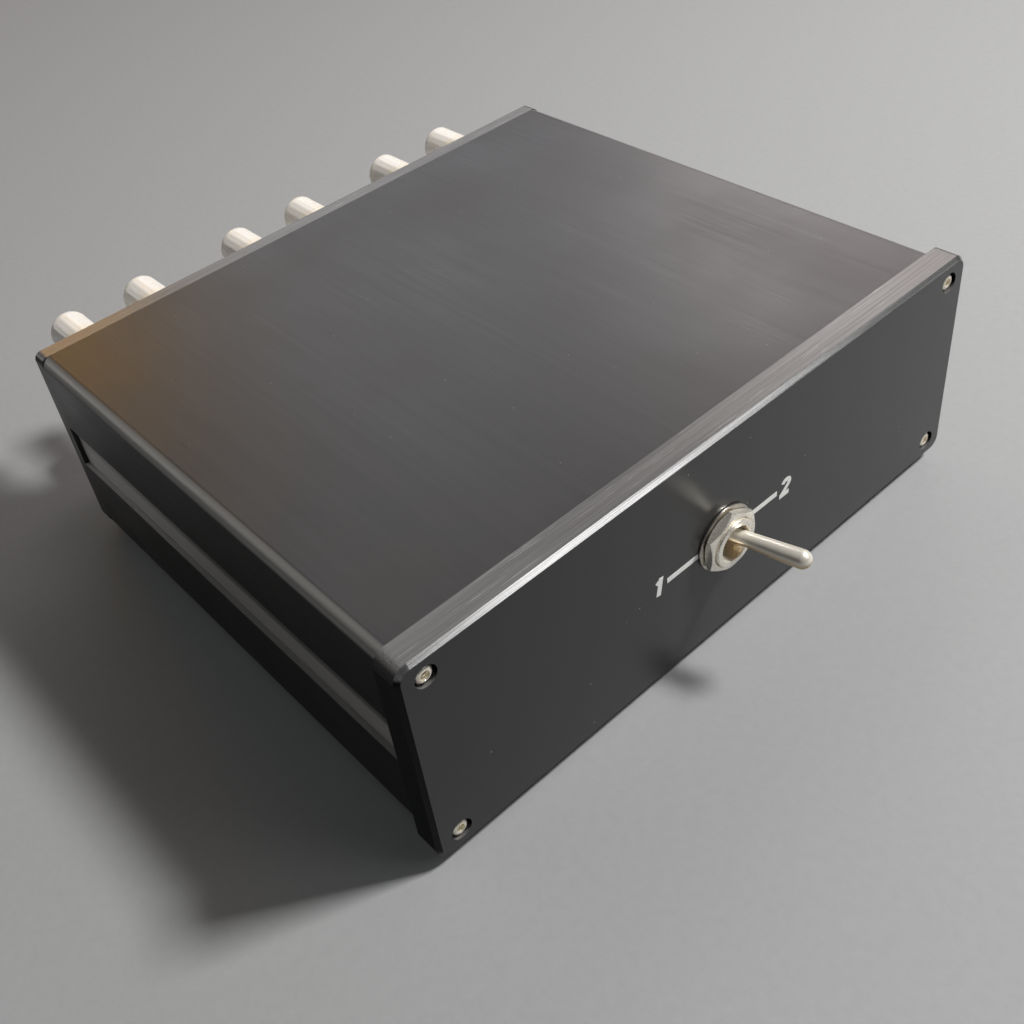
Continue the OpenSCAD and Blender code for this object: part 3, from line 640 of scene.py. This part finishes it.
SCREW_R = 1.25
HEAD_R = 2.25
HEAD_H = 2.5
HEAD_SINK = 0.25
SCREW_X = span("front_panel_screws")[1].x - HEAD_R
SCREW_RISE = span("front_panel_screws")[1].z - HEAD_R - MID_Z
SCREW_CORNERS = ((-1, 1), (1, 1), (-1, -1), (1, -1))
FIRST_TURN = 0.4  # the heads have stopped at different angles
NEXT_TURN = 1.1
SOCKET = hexagon(2.0, math.pi / 6)
SOCKET_DEPTH = 1.1
FOOT_R = 7.0


def socket_mouth(angle):
    return max(SOCKET(angle) * 0.93, 1.12)


def cap_screw_mesh(length):
    """A cap screw along Y whose domed head's top is at y 0 and faces -Y."""
    tip = HEAD_H + length
    rings = [(SOCKET_DEPTH + 0.18, 0.02), (SOCKET_DEPTH, SOCKET), (0.1, SOCKET), (0.0, socket_mouth)]
    rings += [(0.0, 1.28), (0.1, 1.5), (0.24, 1.72), (0.42, 1.92), (0.64, 2.08), (0.9, 2.2), (1.2, HEAD_R)]
    rings += soften([(1.2, HEAD_R, 0), (HEAD_H, HEAD_R, 0.08), (HEAD_H, SCREW_R, 0)], 5)[1:]
    rings += thread(HEAD_H + 0.25, tip - 0.25, pitch=0.45, crest=SCREW_R, root=1.02, flat=0.06, flank=0.14)
    rings += [(tip - 0.25, 1.2), (tip, 0.95)]
    return turned_mesh(f"cap_screw_{length}", rings, 72)


def build_screws(end, length, top, facing):
    """The four screws of a panel. Facing is the turn that points their heads outwards."""
    mesh = cap_screw_mesh(length)
    for k, (side, lift) in enumerate(SCREW_CORNERS):
        spot = Vector((side * SCREW_X, top, MID_Z + lift * SCREW_RISE))
        at = (Matrix.Translation(spot * MM) @ Matrix.Rotation(facing, 4, "Z")
              @ Matrix.Rotation(FIRST_TURN + NEXT_TURN * k, 4, "Y"))
        placed(f"{end}_screw_{k + 1}", mesh, SCREW, "case", (f"{end}_panel_screws",), 30, at)


def build_feet():
    """Four round feet with a soft lower edge and a sunk middle."""
    low, high = span("rubber_feet")
    height = high.z
    rings = [(0.9, 2.2), (0.9, 2.6), (0.15, 3.0), (0.0, 3.2)]
    rings += soften([(0.0, 4.0, 0), (0.0, 6.75, 0.6), (2.2, FOOT_R, 0.3), (height, FOOT_R, 0.15),
                     (height, 0.05, 0)], 5)[1:]
    bm = bmesh.new()
    for x in (low.x + FOOT_R, high.x - FOOT_R):
        for y in (low.y + FOOT_R, high.y - FOOT_R):
            for loop in turned(bm, rings, 72):
                for v in loop:
                    v.co = Vector((v.co.x + x * MM, v.co.z + y * MM, v.co.y))
    placed("feet_moulded", to_mesh("feet_moulded", bm), RUBBER, "case", ("rubber_feet",), 35)


build_screws("front", 12, FRONT + HEAD_SINK, 0.0)
build_screws("rear", 10, REAR + HEAD_H, math.pi)
build_feet()


# ---------------------------------------------------------------- binding posts

SPIGOT_START = (BODY_BACK + REAR) / 2 + 0.05
FLANGE_R = 4.5
SHANK_R = 2.5
BARREL_R = 3.2
PLUG_R = 2.0
WIRE_HOLE_R = 1.2
COLLAR_R = 5.5
CAP_R = 5.5


def stud_mesh():
    """Flange, threaded barrel with a plug bore and a cross hole, and a thread inside the case."""
    rings = [(STUD_START, 2.2), (STUD_START + 0.3, SHANK_R)]
    rings += thread(STUD_START + 0.7, BODY_BACK - 1.0, pitch=0.7, crest=SHANK_R, root=2.2,
                    flat=0.12, flank=0.22)
    rings += [(BODY_BACK, SHANK_R), (COLLAR_END, SHANK_R)]
    rings += soften([(COLLAR_END, 2.6, 0), (COLLAR_END, FLANGE_R, 0.2), (BARREL, FLANGE_R, 0.2),
                     (BARREL, BARREL_R, 0)], 4)[1:]
    rings += thread(BARREL + 0.5, BARREL_END - 0.9, pitch=0.75, crest=BARREL_R, root=2.9,
                    flat=0.1, flank=0.22)
    rings += [(BARREL_END - 0.3, 3.18), (BARREL_END, 2.9), (BARREL_END, 2.2), (BARREL_END - 0.2, PLUG_R),
              (BARREL_END - 11.4, PLUG_R), (BARREL_END - 12.0, 0.9)]
    return drilled(turned_mesh("stud", rings, 64), BARREL_END - 14.2, 0, WIRE_HOLE_R, 14)


def collar_mesh():
    """Coloured ring with rounded edges, a waist line and a spigot in the panel's hole."""
    waist = REAR + 2.3
    points = [(SPIGOT_START, 2.55, 0), (SPIGOT_START, 3.9, 0.1), (REAR, 3.9, 0), (REAR, COLLAR_R, 0.25),
              (waist - 0.3, COLLAR_R, 0.08), (waist - 0.15, 5.25, 0.05), (waist + 0.15, 5.25, 0.05),
              (waist + 0.3, COLLAR_R, 0.08), (COLLAR_END, COLLAR_R, 0.4), (COLLAR_END, 2.55, 0)]
    return turned_mesh("collar", soften(points, 4), 72, closed=True)


def knurl(radius, depth, count):
    """Radius of a ring with narrow teeth."""
    return lambda angle: radius - depth * (0.5 + 0.5 * math.cos(count * angle)) ** 2


def flute(radius, depth, count):
    """Radius of a ring with broad hollows."""
    return lambda angle: radius - depth * (0.5 - 0.5 * math.cos(count * angle)) ** 1.5


def insert_mesh():
    """Gold sleeve with a flange and two bands of fine straight knurl."""
    y, end = INSERT_START, INSERT_END
    bore, neck, groove = 3.25, 3.8, 3.72
    flange = y + 1.1
    teeth = knurl(4.0, 0.16, 36)
    rings = soften([(y, bore, 0), (y, 5.0, 0.18), (flange, 5.0, 0.18), (flange, 4.0, 0)], 4)[:-1]
    rings += [(flange, neck), (y + 1.5, neck), (y + 1.6, teeth), (y + 4.6, teeth), (y + 4.7, groove),
              (y + 5.3, groove), (y + 5.4, teeth), (y + 9.8, teeth), (y + 9.9, groove), (end - 0.3, groove),
              (end, 3.5), (end, bore)]
    return turned_mesh("insert", rings, 216, closed=True)


def cap_mesh():
    """Clear shell with straight shallow flutes between plain ends and a plug hole in its end."""
    y, end = CAP_START, CAP_END
    bore, plug_hole = 4.05, 2.5
    shallow = flute(CAP_R, 0.03, 20)
    full = flute(CAP_R, 0.06, 20)
    rings = [(y, bore), (y, 4.9), (y + 0.18, 5.32), (y + 0.5, CAP_R), (y + 1.4, CAP_R),
             (y + 1.7, shallow), (y + 2.1, full), (end - 2.6, full), (end - 2.2, shallow),
             (end - 1.9, CAP_R), (end - 0.9, CAP_R), (end - 0.4, 5.34), (end - 0.12, 5.02), (end, 4.6),
             (end, 2.85), (end - 0.1, 2.62), (end - 0.35, plug_hole), (end - 1.7, plug_hole),
             (end - 1.8, 2.6), (end - 1.8, 3.8), (end - 2.05, bore)]
    return turned_mesh("shell", rings, 160, closed=True)


def build_posts():
    """Twelve posts: the upper ones have red collars and the lower ones black collars."""
    stud, insert, shell = stud_mesh(), insert_mesh(), cap_mesh()
    red_collar = collar_mesh()
    black_collar = red_collar.copy()
    for i in POSTS:
        centre = middle(f"cap_insert_{i}")
        at = Matrix.Translation(Vector((centre.x, 0, centre.z)) * MM)
        if i in UPPER_POSTS:
            collar, color, used, collars = red_collar, RED, "red_plastic", "red_collars"
        else:
            collar, color, used, collars = black_collar, BLACK, "black_plastic", "black_collars"
        placed(f"post_stud_{i}", stud, GOLD, "case", ("post_studs",), 40, at)
        placed(f"post_collar_{i}", collar, color, "case", (collars,), 40, at)
        placed(f"cap_sleeve_{i}", insert, GOLD, f"insert_{i}", (f"cap_insert_{i}",), 40, at)
        placed(f"cap_clear_{i}", shell, CLEAR, f"cap_{i}", (f"cap_shell_{i}",), 40, at)


build_posts()


# ---------------------------------------------------------------- printed marks

INK_T = 0.04
INK_OVER = INK_T + 0.015  # a stroke that crosses another stands a little higher
BAR_GAP = 0.1
BAR_LENGTH = 9.7
BAR_WIDTH = 1.4
SLANT = 0.2
ONE_X = -20.6
TWO_X = 20.95


def ink(bm, points, width, proud=INK_T):
    """A flat stroke through points (x, z) on the front face, as a thin solid."""
    left, right = [], []
    last = len(points) - 1
    for k, point in enumerate(points):
        way = (Vector(points[min(k + 1, last)]) - Vector(points[max(k - 1, 0)])).normalized()
        out = Vector((-way.y, way.x)) * width / 2
        left.append(Vector(point) + out)
        right.append(Vector(point) - out)
    rows = []
    for edge in (left, right):
        for y in (FRONT - proud, FRONT + 0.02):
            rows.append([bm.verts.new(Vector((v.x, y, v.y)) * MM) for v in edge])
    left_top, left_foot, right_top, right_foot = rows
    around = ((left_top, right_top), (right_top, right_foot), (right_foot, left_foot), (left_foot, left_top))
    for k in range(last):
        for one, two in around:
            bm.faces.new((one[k], two[k], two[k + 1], one[k + 1]))
    for k in (0, last):
        bm.faces.new((left_top[k], right_top[k], right_foot[k], left_foot[k]))


def slanted(points, x):
    """Points of a numeral at x, leaning to the right."""
    return [(x + across + SLANT * up, MID_Z + up) for across, up in points]


def build_bars():
    """A line at each side of the toggle."""
    steps = 6
    start = WASHER_R + BAR_GAP
    bm = bmesh.new()
    for side in (-1, 1):
        ink(bm, [(side * (start + BAR_LENGTH * t / steps), MID_Z) for t in range(steps + 1)], BAR_WIDTH)
    placed("ink_bars", to_mesh("ink_bars", bm), INK, "case", sharp=40)


def build_numerals():
    """The 1 on the left and the 2 on the right."""
    bm = bmesh.new()
    ink(bm, slanted([(-0.95, 1.2), (-0.4, 1.6), (0.2, 2.05)], ONE_X), 0.95, INK_OVER)
    ink(bm, slanted([(0.32, 2.5), (0.32, 0), (0.32, -2.5)], ONE_X), 1.35)
    turns = [math.radians(degrees) for degrees in range(165, -41, -12)]
    bow = [(1.22 * math.cos(turn), 1.05 + math.sin(turn)) for turn in turns]
    ink(bm, slanted(bow + [(0.35, -0.35), (-0.35, -1.05), (-1.1, -1.85)], TWO_X), 1.2)
    ink(bm, slanted([(-1.6, -1.93), (0, -1.93), (1.65, -1.93)], TWO_X), 1.2, INK_OVER)
    placed("ink_numerals", to_mesh("ink_numerals", bm), INK, "case", sharp=40)


build_bars()
build_numerals()


# ---------------------------------------------------------------- floor, light, camera

FLOOR_SIZE = 4.0
WORLD_COLOR = (0.93, 0.965, 1.0)
WORLD_STRENGTH = 0.035
LAMP_AIM = Vector((0, 0, 0.04))
CAMERA_AT = Vector((-147.809, FRONT - 123.475, 221.066))
CAMERA_RIGHT = Vector((0.74551066, -0.65546764, -0.1207312))
CAMERA_UP = Vector((0.49932944, 0.42930628, 0.75257307))
CAMERA_BACK = Vector((-0.44145664, -0.62133589, 0.6473467))
LENS = 42.938
SHIFT = (0.0283475, -0.0480554)


def build_floor():
    bm = bmesh.new()
    bmesh.ops.create_grid(bm, x_segments=8, y_segments=8, size=FLOOR_SIZE)
    mesh = bpy.data.meshes.new("floor")
    bm.to_mesh(mesh)
    bm.free()
    floor = bpy.data.objects.new("floor", mesh)
    bpy.context.scene.collection.objects.link(floor)
    look = Look("floor_plain", (0.6, 0.61, 0.62), 0.62)
    grain = look.noise(420, 4, 0.6)
    look.set("Base Color", look.mix(grain, (0.352, 0.362, 0.374), (0.4, 0.411, 0.424)))
    look.set("Normal", look.bump(grain, 0.00015, 0.35))
    look.set("Specular IOR Level", 0.12)
    mesh.materials.append(look.mat)


def build_world():
    world = bpy.data.worlds.new("studio")
    world.use_nodes = True
    bpy.context.scene.world = world
    background = world.node_tree.nodes["Background"]
    background.inputs["Color"].default_value = (*WORLD_COLOR, 1)
    background.inputs["Strength"].default_value = WORLD_STRENGTH


def lamp(name, towards, distance, size, radiance, color, roll=0.0):
    """A soft light that shines on the box from a direction. Its face glows at radiance. Metres."""
    data = bpy.data.lights.new(name, "AREA")
    data.shape = "RECTANGLE"
    data.size, data.size_y = size
    data.energy = radiance * math.pi * size[0] * size[1]
    data.color = color
    made = bpy.data.objects.new(name, data)
    bpy.context.scene.collection.objects.link(made)
    way = Vector(towards).normalized()
    made.matrix_world = (Matrix.Translation(LAMP_AIM + way * distance)
                         @ way.to_track_quat("Z", "Y").to_matrix().to_4x4()
                         @ Matrix.Rotation(math.radians(roll), 4, "Z"))


def build_camera():
    """The camera that was fitted to the photograph."""
    data = bpy.data.cameras.new("camera")
    data.sensor_width = 36
    data.lens = LENS
    data.shift_x, data.shift_y = SHIFT
    data.clip_start, data.clip_end = 0.01, 50
    camera = bpy.data.objects.new("camera", data)
    bpy.context.scene.collection.objects.link(camera)
    turn = Matrix((CAMERA_RIGHT, CAMERA_UP, CAMERA_BACK)).transposed().to_4x4()
    camera.matrix_world = Matrix.Translation(CAMERA_AT * MM) @ turn
    bpy.context.scene.camera = camera


build_floor()
build_world()
lamp("key", (0.53, -0.365, 0.765), 1.0, (0.16, 0.16), 138.0, (1.0, 0.975, 0.94))
lamp("bevel_glow", (0.44, -0.68, 0.58), 1.3, (0.5, 0.3), 2.6, (1, 0.99, 0.97))
lamp("right_glow", (0.8, 0.4, 0.46), 2.6, (1.25, 1.0), 2.3, (1.0, 0.88, 0.86))
lamp("top_glow", (0.55, 0.66, 0.51), 2.6, (1.7, 0.72), 1.6, (0.985, 0.972, 1.0))
lamp("rear_glow", (0.14, 0.88, 0.455), 1.8, (0.4, 0.22), 4.6, (1.0, 0.5, 0.06))
lamp("over_strip", (0.055, 0.575, 0.815), 1.4, (1.3, 0.2), 1.3, (0.97, 0.98, 1.0), 20.6)
lamp("lever_glow", (-0.57, 0.38, 0.73), 1.2, (0.3, 0.3), 1.2, (1.0, 0.97, 0.9))
lamp("edge_glow", (-0.5, 0.82, 0.28), 1.0, (0.4, 0.2), 2.4, (1.0, 0.985, 0.95))
build_camera()
bpy.context.scene.view_settings.view_transform = "Standard"

bpy.context.view_layer.update()
